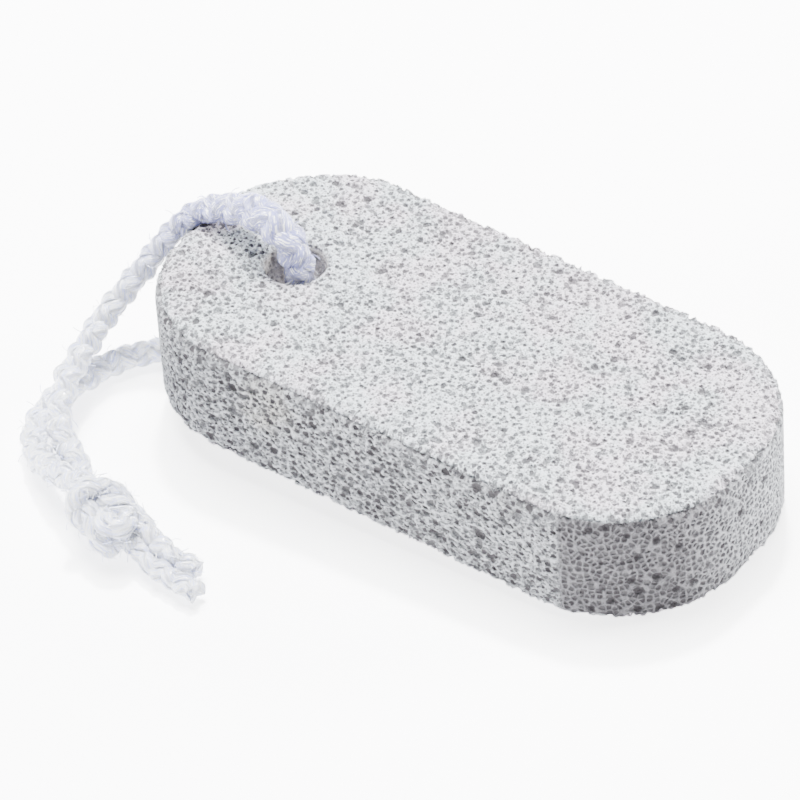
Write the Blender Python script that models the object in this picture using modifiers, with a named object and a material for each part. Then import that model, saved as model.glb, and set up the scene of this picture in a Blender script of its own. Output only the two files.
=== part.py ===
"""A foot stone of pale pumice with a short braided cord tied through its hole.

Lengths are in metres and +Z is up.  +X runs along the stone, from the end with the hole to the
plain end.  The plain end rests on the surface and the other end rests on the cord that passes
under it, so the stone leans by a few degrees.  The origin is on the surface, under the middle.
"""
import math
import random

import bmesh
import bpy
from mathutils import Matrix, Vector

MM = 0.001

# The stone: a block with large round corners, sawn flat above and below.
STONE_LENGTH = 95.0 * MM
STONE_WIDTH = 43.8 * MM
STONE_THICKNESS = 18.1 * MM
CORNER_RADIUS = 19.6 * MM
CORNER_STEPS = 8
RIM_ROUNDING = 0.45 * MM
STONE_LEAN = math.radians(2.9)

# The hole for the cord, opened a little at both mouths by wear.
HOLE_X = -29.7 * MM
HOLE_RADIUS = 4.4 * MM
HOLE_STEPS = 24
MOUTH_FLARE = 0.5 * MM

# The large pores.  Each one is an open bubble, cut to PIT_DEPTH of its radius.
PIT_SEED = 7
PIT_RADII = (0.75 * MM, 1.35 * MM)
PIT_DEPTH = 0.62
PIT_GAP = 0.5 * MM
PIT_COUNTS = {"top": 80, "underside": 38, "side": 92}
CHIP_RADII = (0.9 * MM, 1.5 * MM)
CHIP_COUNTS = {"top": 20, "underside": 34}
RIM_MARGIN = 2.2 * MM
HOLE_MARGIN = 2.4 * MM
REST_FACE_X = 20.0 * MM
REST_FACE_RADIUS = 8.0 * MM

# The cord: limp, braided, pinched thin where the knot squeezes it and where it lies under the
# stone.  It is at its thinnest inside KNOT_REACH and at its full size outside KNOT_OUTSKIRTS.
CORD_RADIUS = 2.1 * MM
KNOT_CORD_RADIUS = 0.85 * MM
KNOT_REACH = 6.5 * MM
KNOT_OUTSKIRTS = 12.5 * MM
PRESSED_CORD_RADIUS = 1.75 * MM
CORD_BEVEL_RESOLUTION = 2
CORD_STEP = 3.4 * MM

# The knot's own frame: U runs from the legs to the tails, V to the side and W up.
KNOT_CENTRE = Vector((-32.0, -41.6, 5.7)) * MM
KNOT_TURN = math.radians(-8.0)

# Half of each strand of the knot in millimetres, from its middle outwards to its tail.  The other
# half is the same shape after half a turn about V.
KNOT_STRAND_A = (
    (0.0, 3.2, 0.0), (-1.1, 1.9, 2.0), (-1.7, 0.6, 2.9), (-2.3, -1.2, 3.7), (-2.7, -2.8, 3.9),
    (-2.9, -4.2, 3.4), (-2.8, -5.1, 2.3), (-2.2, -5.3, 0.9), (-1.3, -4.9, -0.3),
    (-0.3, -4.2, -1.1), (1.6, -3.1, -1.7), (3.5, -2.0, -1.9),
)
KNOT_STRAND_B = (
    (0.0, 0.9, 0.0), (-2.6, 0.8, -0.2), (-4.1, 0.5, -0.3), (-5.4, -0.2, -0.5), (-6.1, -1.4, -0.9),
    (-5.9, -2.8, -1.4), (-4.8, -3.5, -1.6), (-3.3, -3.3, -1.4), (-2.1, -2.4, -0.8),
    (-1.0, -1.3, 0.6), (0.6, -0.4, 1.9), (2.4, 0.7, 2.4),
)

# The rest of the route in millimetres, in the order in which the cord runs.
TAIL_A = ((-12.3, -46.8, 2.2), (-17.2, -46.4, 2.2), (-21.8, -45.6, 2.3), (-25.6, -44.0, 3.0))
LOWER_LEG = (
    (-39.4, -41.0, 7.0), (-44.6, -39.3, 5.3), (-50.6, -36.2, 3.0), (-55.0, -31.8, 2.3),
    (-56.8, -25.6, 2.2), (-56.3, -18.6, 2.2), (-53.9, -11.4, 2.2), (-48.6, -5.9, 2.2),
    (-42.2, -2.2, 2.1),
)
UNDER_STONE = ((-36.6, -0.5, 1.9), (-31.4, 0.0, 2.3))
THROUGH_HOLE = ((-28.3, -0.1, 6.2), (-27.9, -0.2, 12.0), (-27.6, -0.5, 19.0))
UPPER_LEG = (
    (-27.9, -1.1, 24.4), (-30.4, -1.2, 28.2), (-35.0, -0.5, 29.4), (-40.6, 0.6, 28.2),
    (-46.0, 0.3, 26.2), (-50.1, -1.6, 23.0), (-53.4, -5.4, 16.4), (-55.5, -10.8, 10.8),
    (-55.9, -17.4, 7.9),
    (-53.9, -24.8, 6.7), (-49.8, -30.6, 5.1), (-44.2, -34.1, 3.5), (-39.6, -37.6, 3.2),
)
TAIL_B = ((-27.2, -40.4, 8.0), (-24.2, -41.1, 6.4), (-19.8, -41.6, 3.9), (-14.9, -41.2, 2.2))


def clear_scene():
    for old in list(bpy.data.objects):
        bpy.data.objects.remove(old, do_unlink=True)


def new_collection(name):
    collection = bpy.data.collections.new(name)
    bpy.context.scene.collection.children.link(collection)
    return collection


def plain_material(name, colour, roughness, sheen=0.0):
    material = bpy.data.materials.new(name)
    material.use_nodes = True
    shader = material.node_tree.nodes["Principled BSDF"]
    shader.inputs["Base Color"].default_value = (*colour, 1.0)
    shader.inputs["Roughness"].default_value = roughness
    shader.inputs["Metallic"].default_value = 0.0
    shader.inputs["Sheen Weight"].default_value = sheen
    return material


def mesh_object(name, bm, collection):
    mesh = bpy.data.meshes.new(name)
    bm.to_mesh(mesh)
    bm.free()
    obj = bpy.data.objects.new(name, mesh)
    collection.objects.link(obj)
    return obj


def make_cutter(obj, carrier):
    """Place a cutter in its carrier's frame and keep it out of the picture."""
    obj.parent = carrier
    obj.hide_render = True
    obj.display_type = "WIRE"


def cut_with(target, cutter, name):
    boolean = target.modifiers.new(name, "BOOLEAN")
    boolean.operation = "DIFFERENCE"
    boolean.solver = "EXACT"
    boolean.object = cutter


def stone_block(collection):
    """The plain block: its underside is at local z = 0, and its long way is local x."""
    bm = bmesh.new()
    bmesh.ops.create_cube(bm, size=1.0)
    bmesh.ops.scale(bm, vec=(STONE_LENGTH, STONE_WIDTH, STONE_THICKNESS), verts=bm.verts)
    bmesh.ops.translate(bm, vec=(0.0, 0.0, STONE_THICKNESS / 2), verts=bm.verts)
    upright = [edge for edge in bm.edges if abs(edge.verts[0].co.z - edge.verts[1].co.z) > MM]
    bmesh.ops.bevel(bm, geom=upright, offset=CORNER_RADIUS, segments=CORNER_STEPS, profile=0.5,
                    affect="EDGES")
    stone = mesh_object("pumice_stone", bm, collection)
    rim = stone.modifiers.new("Rim rounding", "BEVEL")
    rim.width = RIM_ROUNDING
    rim.segments = 1
    rim.limit_method = "ANGLE"
    rim.angle_limit = math.radians(60.0)
    return stone


def hole_cutter(stone, collection):
    """A turned plug, wider at both ends, standing where the hole goes."""
    overshoot = 2.0 * MM
    top = STONE_THICKNESS + overshoot
    flare_radius = HOLE_RADIUS + MOUTH_FLARE + overshoot
    profile = (
        (0.0, top), (flare_radius, top), (HOLE_RADIUS, STONE_THICKNESS - MOUTH_FLARE),
        (HOLE_RADIUS, MOUTH_FLARE), (flare_radius, -overshoot), (0.0, -overshoot),
    )
    bm = bmesh.new()
    corners = [bm.verts.new((radius, 0.0, height)) for radius, height in profile]
    for upper, lower in zip(corners, corners[1:]):
        bm.edges.new((upper, lower))
    cutter = mesh_object("hole_cutter", bm, collection)
    screw = cutter.modifiers.new("Turn", "SCREW")
    screw.steps = HOLE_STEPS
    screw.render_steps = HOLE_STEPS
    screw.use_merge_vertices = True
    screw.merge_threshold = 0.01 * MM
    cutter.location = (HOLE_X, 0.0, 0.0)
    make_cutter(cutter, stone)
    return cutter


def outline_length():
    straight = 2 * (STONE_LENGTH + STONE_WIDTH) - 8 * CORNER_RADIUS
    return straight + 2 * math.pi * CORNER_RADIUS


def outline_point(distance):
    """The point and the outward direction of the stone's outline after a distance along it."""
    half_x = STONE_LENGTH / 2 - CORNER_RADIUS
    half_y = STONE_WIDTH / 2 - CORNER_RADIUS
    arc = math.pi / 2 * CORNER_RADIUS
    for quarter in range(4):
        angle = quarter * math.pi / 2
        outward = Vector((math.cos(angle), math.sin(angle), 0.0))
        along = Vector((-outward.y, outward.x, 0.0))
        ahead, aside = (half_y, half_x) if quarter % 2 == 0 else (half_x, half_y)
        if distance < 2 * ahead:
            return outward * (aside + CORNER_RADIUS) + along * (distance - ahead), outward
        distance -= 2 * ahead
        if distance < arc:
            turned = outward.copy()
            turned.rotate(Matrix.Rotation(distance / CORNER_RADIUS, 3, "Z"))
            return outward * aside + along * ahead + turned * CORNER_RADIUS, turned
        distance -= arc
    return outline_point(0.0)


def inside_outline(x, y, margin):
    """Whether a point of the flat faces is at least the margin inside the outline."""
    corner_x = max(0.0, abs(x) - (STONE_LENGTH / 2 - CORNER_RADIUS))
    corner_y = max(0.0, abs(y) - (STONE_WIDTH / 2 - CORNER_RADIUS))
    return math.hypot(corner_x, corner_y) < CORNER_RADIUS - margin


def flat_site(rng, height):
    """A random place on a flat face, clear of the rim, the hole and the face it rests on."""
    outward = Vector((0.0, 0.0, 1.0 if height > 0.0 else -1.0))
    while True:
        x = rng.uniform(-STONE_LENGTH / 2, STONE_LENGTH / 2)
        y = rng.uniform(-STONE_WIDTH / 2, STONE_WIDTH / 2)
        clear_of_hole = math.hypot(x - HOLE_X, y) > HOLE_RADIUS + HOLE_MARGIN
        clear_of_rest = height > 0.0 or math.hypot(x - REST_FACE_X, y) > REST_FACE_RADIUS
        if inside_outline(x, y, RIM_MARGIN) and clear_of_hole and clear_of_rest:
            return Vector((x, y, height)), outward


def wall_site(rng):
    place, outward = outline_point(rng.uniform(0.0, outline_length()))
    height = rng.uniform(RIM_MARGIN, STONE_THICKNESS - RIM_MARGIN)
    return place + Vector((0.0, 0.0, height)), outward


def rim_site(rng, height):
    """A random place on the rim, where the bubble is centred on the edge and chips it."""
    place, _ = outline_point(rng.uniform(0.0, outline_length()))
    return place + Vector((0.0, 0.0, height)), Vector((0.0, 0.0, 0.0))


def choose_pits(rng):
    """Places and radii of the open bubbles, none of which touches another."""
    kinds = (
        (CHIP_COUNTS["underside"], CHIP_RADII, lambda: rim_site(rng, 0.0)),
        (CHIP_COUNTS["top"], CHIP_RADII, lambda: rim_site(rng, STONE_THICKNESS)),
        (PIT_COUNTS["side"], PIT_RADII, lambda: wall_site(rng)),
        (PIT_COUNTS["top"], PIT_RADII, lambda: flat_site(rng, STONE_THICKNESS)),
        (PIT_COUNTS["underside"], PIT_RADII, lambda: flat_site(rng, 0.0)),
    )
    chosen = []
    for count, radii, pick_site in kinds:
        wanted = len(chosen) + count
        while len(chosen) < wanted:
            radius = rng.uniform(*radii)
            surface, outward = pick_site()
            centre = surface + outward * radius * (1.0 - PIT_DEPTH)
            if all((centre - other).length > radius + size + PIT_GAP for other, size in chosen):
                chosen.append((centre, radius))
    return chosen


def pit_cutter(stone, collection):
    """All the bubbles as one mesh of small faceted balls, each turned its own way."""
    rng = random.Random(PIT_SEED)
    bm = bmesh.new()
    for centre, radius in choose_pits(rng):
        turn = Matrix.Rotation(rng.uniform(0.0, math.pi), 4, "Z")
        tip = Matrix.Rotation(rng.uniform(0.0, math.pi), 4, "X")
        stretch = Matrix.Diagonal((rng.uniform(0.85, 1.0), 1.0, 1.0, 1.0))
        bmesh.ops.create_icosphere(bm, subdivisions=1, radius=radius,
                                   matrix=Matrix.Translation(centre) @ turn @ tip @ stretch)
    cutter = mesh_object("pit_cutter", bm, collection)
    make_cutter(cutter, stone)
    return cutter


def build_stone(parts, cutters):
    stone = stone_block(parts)
    cut_with(stone, hole_cutter(stone, cutters), "Cord hole")
    cut_with(stone, pit_cutter(stone, cutters), "Open bubbles")
    stone.rotation_euler = (0.0, STONE_LEAN, 0.0)
    centring = -STONE_THICKNESS * math.sin(STONE_LEAN) / 2
    stone.location = (centring, 0.0, STONE_LENGTH / 2 * math.sin(STONE_LEAN))
    stone.data.materials.append(plain_material("Pale pumice", (0.60, 0.62, 0.63), 0.95))
    return stone


def knot_place(point):
    """A point of the knot's own frame, in the part's frame."""
    return KNOT_CENTRE + Matrix.Rotation(KNOT_TURN, 3, "Z") @ (Vector(point) * MM)


def half_turned(point):
    u, v, w = point
    return (-u, v, -w)


def knot_strand(half):
    """A whole strand of the knot, from its leg to its tail, from the list of its tail half."""
    leg_half = [knot_place(half_turned(point)) for point in reversed(half[1:])]
    return leg_half + [knot_place(point) for point in half]


def in_metres(points):
    return [Vector(point) * MM for point in points]


def squeezed_radius(place, radius):
    """The cord's radius at a place, after the knot has pinched what is near its centre."""
    distance = (place - KNOT_CENTRE).length
    share = (distance - KNOT_REACH) / (KNOT_OUTSKIRTS - KNOT_REACH)
    share = max(0.0, min(1.0, share))
    return KNOT_CORD_RADIUS + (radius - KNOT_CORD_RADIUS) * share


def cord_route():
    """The route's points and the cord's radius at each, from one tail to the other."""
    free = (
        (in_metres(TAIL_A), CORD_RADIUS),
        (list(reversed(knot_strand(KNOT_STRAND_A))), CORD_RADIUS),
        (in_metres(LOWER_LEG), CORD_RADIUS),
        (in_metres(UNDER_STONE), PRESSED_CORD_RADIUS),
        (in_metres(THROUGH_HOLE), CORD_RADIUS),
        (in_metres(UPPER_LEG), CORD_RADIUS),
        (knot_strand(KNOT_STRAND_B), CORD_RADIUS),
        (in_metres(TAIL_B), CORD_RADIUS),
    )
    places = [place for points, _ in free for place in points]
    radii = [squeezed_radius(place, radius) for points, radius in free for place in points]
    return places, radii


def smooth_point(p0, p1, p2, p3, share):
    """The point between p1 and p2 of the centripetal Catmull-Rom curve through all four."""
    t1 = math.sqrt((p1 - p0).length)
    t2 = t1 + math.sqrt((p2 - p1).length)
    t3 = t2 + math.sqrt((p3 - p2).length)
    t = t1 + (t2 - t1) * share
    a1 = p0.lerp(p1, t / t1)
    a2 = p1.lerp(p2, (t - t1) / (t2 - t1))
    a3 = p2.lerp(p3, (t - t2) / (t3 - t2))
    b1 = a1.lerp(a2, t / t2)
    b2 = a2.lerp(a3, (t - t1) / (t3 - t1))
    return b1.lerp(b2, (t - t1) / (t2 - t1))


def smooth_route(places, radii):
    """Points and radii read from the smooth curve through the route's own points."""
    ends = [2 * places[0] - places[1]] + places + [2 * places[-1] - places[-2]]
    samples = []
    for index in range(len(places) - 1):
        count = max(1, round((places[index + 1] - places[index]).length / CORD_STEP))
        for part in range(count):
            share = part / count
            point = smooth_point(*ends[index:index + 4], share)
            radius = radii[index] + (radii[index + 1] - radii[index]) * share
            samples.append((point, radius))
    samples.append((places[-1], radii[-1]))
    return samples


def build_cord(parts):
    samples = smooth_route(*cord_route())
    curve = bpy.data.curves.new("cord", "CURVE")
    curve.dimensions = "3D"
    curve.bevel_depth = CORD_RADIUS
    curve.bevel_resolution = CORD_BEVEL_RESOLUTION
    curve.use_fill_caps = True
    spline = curve.splines.new("POLY")
    spline.points.add(len(samples) - 1)
    for spline_point, (place, radius) in zip(spline.points, samples):
        spline_point.co = (*place, 1.0)
        spline_point.radius = radius / CORD_RADIUS
    cord = bpy.data.objects.new("cord", curve)
    parts.objects.link(cord)
    cord.data.materials.append(plain_material("White braid", (0.88, 0.88, 0.92), 0.45, sheen=0.3))
    return cord


def build():
    clear_scene()
    parts = new_collection("pumice foot stone")
    cutters = new_collection("cutters")
    build_stone(parts, cutters)
    build_cord(parts)


build()
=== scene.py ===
import math
import bmesh
import bpy
from mathutils import Matrix, Vector


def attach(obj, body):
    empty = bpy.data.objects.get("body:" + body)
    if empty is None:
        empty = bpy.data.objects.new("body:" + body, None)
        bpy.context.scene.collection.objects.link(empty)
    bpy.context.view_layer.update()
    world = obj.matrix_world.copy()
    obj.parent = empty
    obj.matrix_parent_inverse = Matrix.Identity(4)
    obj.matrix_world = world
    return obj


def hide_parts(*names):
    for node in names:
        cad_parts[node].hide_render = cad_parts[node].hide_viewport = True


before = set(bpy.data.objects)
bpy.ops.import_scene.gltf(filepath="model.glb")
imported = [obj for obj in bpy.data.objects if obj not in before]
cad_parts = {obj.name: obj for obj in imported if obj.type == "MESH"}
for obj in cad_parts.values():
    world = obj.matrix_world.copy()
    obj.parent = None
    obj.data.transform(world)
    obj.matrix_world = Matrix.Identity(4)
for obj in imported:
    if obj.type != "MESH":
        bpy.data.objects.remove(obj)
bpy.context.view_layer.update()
print("frame loaded:", sorted(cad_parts))


# helpers for node trees, the same for geometry and for materials

def addNode(tree, kind, inputs=None, **settings):
    # inputs are links or plain values, by socket name; settings are the node's own
    node = tree.nodes.new(kind)
    for name, value in settings.items():
        setattr(node, name, value)
    for name, value in (inputs or {}).items():
        feed(tree, node.inputs[name], value)
    return node


def feed(tree, target, value):
    if isinstance(value, bpy.types.NodeSocket):
        tree.links.new(value, target)
    else:
        target.default_value = value


def maths(tree, operation, first, second=None, third=None, clamp=False):
    node = addNode(tree, "ShaderNodeMath", operation=operation, use_clamp=clamp)
    for socket, value in zip(node.inputs, (first, second, third)):
        if value is not None:
            feed(tree, socket, value)
    return node.outputs[0]


def product(tree, first, *others):
    for other in others:
        first = maths(tree, "MULTIPLY", first, other)
    return first


def beyond(tree, value, limit):
    return maths(tree, "MAXIMUM", maths(tree, "SUBTRACT", value, limit), 0.0)


def fadedBy(tree, value, share, part):
    # the value, less the named part of it where the share is 1
    return product(tree, value, maths(tree, "MULTIPLY_ADD", share, -part, 1.0))


def vectorMaths(tree, operation, first, second=None, scale=None):
    node = addNode(tree, "ShaderNodeVectorMath", operation=operation)
    feed(tree, node.inputs[0], first)
    if second is not None:
        feed(tree, node.inputs[1], second)
    if scale is not None:
        feed(tree, node.inputs["Scale"], scale)
    return node.outputs["Value" if operation in ("DOT_PRODUCT", "DISTANCE") else "Vector"]


def splitVector(tree, vector):
    parts = addNode(tree, "ShaderNodeSeparateXYZ", {"Vector": vector}).outputs
    return parts[0], parts[1], parts[2]


def joinVector(tree, *parts):
    node = addNode(tree, "ShaderNodeCombineXYZ")
    for socket, part in zip(node.inputs, parts):
        feed(tree, socket, part)
    return node.outputs[0]


def remap(tree, value, fromLow, fromHigh, toLow=0.0, toHigh=1.0, smooth=False):
    node = addNode(tree, "ShaderNodeMapRange", {
        "Value": value, "From Min": fromLow, "From Max": fromHigh, "To Min": toLow, "To Max": toHigh},
        clamp=True, interpolation_type="SMOOTHSTEP" if smooth else "LINEAR")
    return node.outputs["Result"]


def noise(tree, place, scale, detail=3.0, roughness=0.55, distortion=0.0):
    node = addNode(tree, "ShaderNodeTexNoise", {
        "Vector": place, "Scale": scale, "Detail": detail, "Roughness": roughness,
        "Distortion": distortion})
    return node.outputs[0]


# a Mix node's two inputs and its output, for each kind of data
mixSockets = {"FLOAT": (2, 3, 0), "VECTOR": (4, 5, 1), "RGBA": (6, 7, 2)}


def blend(tree, share, first, second, kind="RGBA"):
    firstInput, secondInput, output = mixSockets[kind]
    node = addNode(tree, "ShaderNodeMix", data_type=kind)
    feed(tree, node.inputs[0], share)
    feed(tree, node.inputs[firstInput], first)
    feed(tree, node.inputs[secondInput], second)
    return node.outputs[output]


def newGeometryTree(name, sizes):
    tree = bpy.data.node_groups.new(name, "GeometryNodeTree")
    tree.interface.new_socket("Geometry", in_out="INPUT", socket_type="NodeSocketGeometry")
    for label, kind in sizes:
        tree.interface.new_socket(label, in_out="INPUT", socket_type=kind)
    tree.interface.new_socket("Geometry", in_out="OUTPUT", socket_type="NodeSocketGeometry")
    return tree, addNode(tree, "NodeGroupInput"), addNode(tree, "NodeGroupOutput")


def storeNumber(tree, geometry, name, value):
    node = addNode(tree, "GeometryNodeStoreNamedAttribute", {
        "Geometry": geometry, "Name": name, "Value": value}, data_type="FLOAT", domain="POINT")
    return node.outputs[0]


def endTree(tree, geometry, material, result):
    real = addNode(tree, "GeometryNodeRealizeInstances", {"Geometry": geometry})
    dressed = addNode(tree, "GeometryNodeSetMaterial", {
        "Geometry": real.outputs[0], "Material": material})
    tree.links.new(dressed.outputs[0], result.inputs[0])


def plainMesh(obj):
    graph = bpy.context.evaluated_depsgraph_get()
    return bpy.data.meshes.new_from_object(obj.evaluated_get(graph), depsgraph=graph)


def grownMesh(obj, tree, values):
    # run the tree on the object and hand back the result as a plain mesh
    modifier = obj.modifiers.new(tree.name, "NODES")
    modifier.node_group = tree
    for item in tree.interface.items_tree:
        if item.in_out == "INPUT" and item.name in values:
            modifier[item.identifier] = values[item.name]
    mesh = plainMesh(obj)
    obj.modifiers.remove(modifier)
    return mesh


def newObject(name, data):
    obj = bpy.data.objects.new(name, data)
    bpy.context.scene.collection.objects.link(obj)
    return obj


def newMaterial(name):
    material = bpy.data.materials.new(name)
    material.use_nodes = True
    return material, material.node_tree, material.node_tree.nodes["Principled BSDF"]


cameraSettings = {
    "place": (0.43234, -0.49923, 0.55581),
    "right": (0.791483, 0.604289, -0.091589),  # directions of its right and its top
    "up": (-0.331919, 0.550806, 0.765795),
    "lens": 275.68,  # mm, as is the sensor's width
    "sensor": 36.0,
}


def addCamera(settings):
    data = bpy.data.cameras.new("camera")
    data.lens = settings["lens"]
    data.sensor_width = settings["sensor"]
    data.clip_start = 0.05
    data.clip_end = 20.0
    camera = newObject("camera", data)
    right, up = Vector(settings["right"]).normalized(), Vector(settings["up"]).normalized()
    turn = Matrix((right, up, right.cross(up))).transposed().to_4x4()
    camera.matrix_world = Matrix.Translation(settings["place"]) @ turn
    bpy.context.scene.camera = camera


addCamera(cameraSettings)
print("camera placed")


cordSettings = {
    "diameter": 0.0042,
    "strands": 6,
    "pitch": 0.0136,          # length of one full turn of a strand
    "strandWidth": 0.0024,
    "strandThickness": 0.00155,
    "weaveDepth": 0.00048,    # how far a strand moves in and out
    "step": 0.00044,
    "yarns": 4,               # side by side in a strand
    "ridge": 0.10,            # relief of the yarns, as a share of the strand's section
    "stray": 0.00034,         # how far a strand wanders from its even path,
    "strayPace": 420.0,       # in how many waves for each metre,
    "strayTurn": 0.5,         # and how much it turns and widens by that
    "strayWidth": 0.7,
    "strayApart": 9.7,        # makes every strand stray in its own way
    # loose filaments
    "fuzz": 130000.0,         # for each square metre of strand
    "fuzzMore": 3.0,          # times as many are added where the cord is frayed
    "frayed": 0.016,          # share of the length that is frayed, at each end
    "knotAt": (-0.031, -0.043, 0.0055),
    "knotReach": (0.0055, 0.0090),  # distances from the knot between which its fuzz thins out
    "knotShare": 0.8,
    "filament": ((0.0, 0.0, -0.0001), (0.0001, 0.0, 0.0005), (0.0011, 0.0002, 0.0006)),
    "filamentRadius": 0.00005,
    "filamentScale": (0.5, 1.4),
    "filamentLean": 0.5,      # radians to either side
    "filamentFacing": 0.2,    # they stand where a strand faces outwards by this much
    "filamentFloor": 0.0022,  # and above this height
    # finish; the pairs named "At" are parts of the fibres' noise
    "fibresAcross": 24.0,     # fineness round a strand and along it
    "fibresAlong": 640.0,
    "fibresApart": 7.3,       # gives every strand its own fibres
    "fibreRelief": 0.0007,
    # painted shade between the fibres, and painted glints on them
    "shade": (0.56, 0.62, 1.0, 1.0),
    "colour": (0.935, 0.96, 1.0, 1.0),
    "glint": (1.0, 1.0, 1.0, 1.0),
    "tintAt": (0.37, 0.54),   # from the painted shade to colour
    "glintAt": (0.54, 0.59),  # from colour to the painted glint
    "paintedShadeOverStone": (0.225, 0.24, 0.60, 1.0),  # painted shade on the stretch that is bent over the stone
    "paintedShadeOverStoneShare": 0.90,
    "paintedShadeOverStoneFrom": (0.012, 0.024),        # heights between which that stretch begins
    "sparkAt": (0.57, 0.60),  # the finer painted sparks on it
    "sparkFineness": 1.7,
    "roughAt": (0.35, 0.65),  # from the roughness of the shaded fibres to that of the raised ones
    "roughness": (0.50, 0.20),
    "sheen": 0.1,
    "specular": 0.8,
    "coat": 0.5,
}

# route of the cord in metres, from one tail through the knot, under the stone,
# up the hole, over the end and back through the knot
cordRoute = (
    (-0.0133, -0.0459, 0.0022), (-0.0178, -0.0455, 0.0022), (-0.0221, -0.0448, 0.0023),
    (-0.0256, -0.0435, 0.003), (-0.02869, -0.04365, 0.00395), (-0.03063, -0.04427, 0.00414),
    (-0.03255, -0.04489, 0.00469), (-0.03346, -0.04523, 0.00534), (-0.03425, -0.04534, 0.00637),
    (-0.03473, -0.04507, 0.00762), (-0.03479, -0.04438, 0.00867), (-0.03456, -0.04338, 0.00921),
    (-0.03412, -0.04224, 0.0091), (-0.03335, -0.0409, 0.00837), (-0.03263, -0.03995, 0.00754),
    (-0.03144, -0.03906, 0.0057), (-0.03055, -0.04024, 0.00386), (-0.03011, -0.04135, 0.00303),
    (-0.02975, -0.04286, 0.0023), (-0.02955, -0.04418, 0.00211), (-0.02951, -0.04531, 0.00257),
    (-0.02971, -0.04601, 0.00358), (-0.0303, -0.04609, 0.00487), (-0.03111, -0.04565, 0.00598),
    (-0.03198, -0.04497, 0.00671), (-0.03367, -0.04384, 0.00726), (-0.03535, -0.04271, 0.00745),
    (-0.0392, -0.04085, 0.007), (-0.0441, -0.03895, 0.0053), (-0.05, -0.0358, 0.003),
    (-0.0545, -0.03145, 0.0023), (-0.0566, -0.0255, 0.0022), (-0.0563, -0.0186, 0.0022),
    (-0.0539, -0.0114, 0.0022), (-0.0486, -0.0059, 0.0022), (-0.0422, -0.0022, 0.0021),
    (-0.0366, -0.0005, 0.0019), (-0.0314, 0.0, 0.0023), (-0.02874, -0.0004, 0.0062),
    (-0.02834, -0.0005, 0.012), (-0.02794, -0.0007, 0.019), (-0.02794, -0.0011, 0.0244),
    (-0.0301, -0.00095, 0.0279), (-0.0345, -0.0001, 0.0285), (-0.0403, 0.00075, 0.02685),
    (-0.0455, 0.0004, 0.02455), (-0.04915, -0.00135, 0.0217), (-0.05255, -0.0051, 0.0164),
    (-0.0553, -0.0108, 0.01115), (-0.05575, -0.0173, 0.0079), (-0.05375, -0.02465, 0.0067),
    (-0.05005, -0.0307, 0.0051), (-0.0444, -0.0342, 0.0035), (-0.0396, -0.0376, 0.0032),
    (-0.034, -0.04072, 0.00349), (-0.03242, -0.04183, 0.00395), (-0.03099, -0.04277, 0.00515),
    (-0.03034, -0.04396, 0.00644), (-0.02957, -0.04502, 0.00699), (-0.02843, -0.04555, 0.00717),
    (-0.02741, -0.0452, 0.00699), (-0.02705, -0.04413, 0.00653), (-0.0275, -0.04302, 0.00616),
    (-0.02839, -0.04212, 0.00598), (-0.02951, -0.04149, 0.00588), (-0.0317, -0.04089, 0.0057),
    (-0.03418, -0.04062, 0.00552), (-0.03536, -0.04045, 0.00542), (-0.0364, -0.04064, 0.00524),
    (-0.03706, -0.0414, 0.00487), (-0.03702, -0.04253, 0.00441), (-0.03619, -0.04333, 0.00423),
    (-0.03503, -0.04357, 0.00441), (-0.03406, -0.04322, 0.00496), (-0.03289, -0.0425, 0.00625),
    (-0.03127, -0.042, 0.00715), (-0.02944, -0.04137, 0.00681), (-0.0272, -0.0407, 0.0051),
    (-0.0244, -0.0418, 0.0041), (-0.0203, -0.0427, 0.0032), (-0.0159, -0.0423, 0.0021),
)

# how thick the cord is along its route, as a share of the diameter: (route point, share)
cordSwell = (
    (0, 0.84), (2, 0.82), (4, 0.82), (26, 0.84), (28, 0.98), (31, 1.02), (34, 0.95), (36, 0.82),
    (38, 0.9), (40, 1.12), (42, 1.25), (43, 1.32), (44, 1.20), (45, 1.02), (46, 0.92), (47, 0.94),
    (49, 0.98), (52, 1.0), (54, 0.86), (76, 0.82), (78, 0.82), (80, 0.84),
)


def swellAt(index):
    for (firstIndex, first), (nextIndex, following) in zip(cordSwell, cordSwell[1:]):
        if firstIndex <= index <= nextIndex:
            return first + (following - first) * (index - firstIndex) / (nextIndex - firstIndex)
    return cordSwell[-1][1]


def routeCurve():
    curve = bpy.data.curves.new("cord_route", "CURVE")
    curve.dimensions = "3D"
    spline = curve.splines.new("POLY")
    spline.points.add(len(cordRoute) - 1)
    for index, (point, place) in enumerate(zip(spline.points, cordRoute)):
        point.co = (*place, 1.0)
        point.radius = swellAt(index)
    return newObject("cord_route", curve)


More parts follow.
